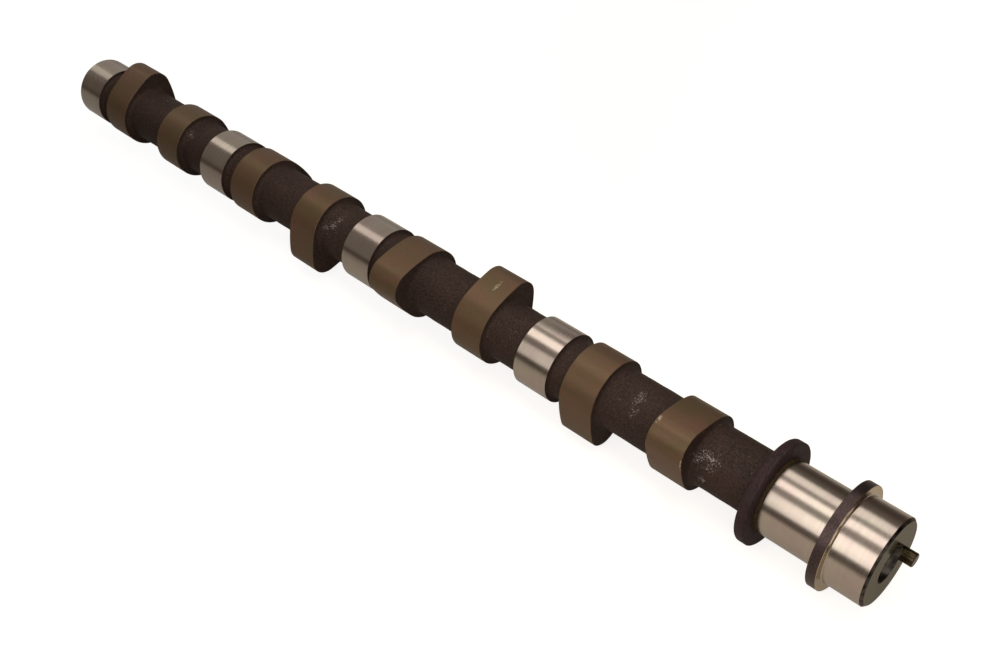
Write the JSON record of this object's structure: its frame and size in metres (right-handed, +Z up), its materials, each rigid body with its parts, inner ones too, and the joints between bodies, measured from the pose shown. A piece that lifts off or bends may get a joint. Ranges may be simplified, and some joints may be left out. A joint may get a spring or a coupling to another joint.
{
  "type": "engine camshaft",
  "caption": "Cast overhead camshaft for a small in-line engine, with ground lobes and journals, thrust flanges and a dowelled nose.",
  "frame": {"origin": "middle of the nose's flat front face, on the shaft's axis", "axes": "+X along the shaft and out of the nose, +Z up as the shaft lies at rest, +Y to the left seen from behind the nose"},
  "size_m": [0.4695, 0.042, 0.042],
  "materials": {
    "cast_iron": "as cast, with ground lobes and journals",
    "pin_steel": "ground steel"
  },
  "bodies": {
    "root": {"camshaft": "cast_iron", "dowel_pin": "pin_steel"}
  },
  "joints": []
}
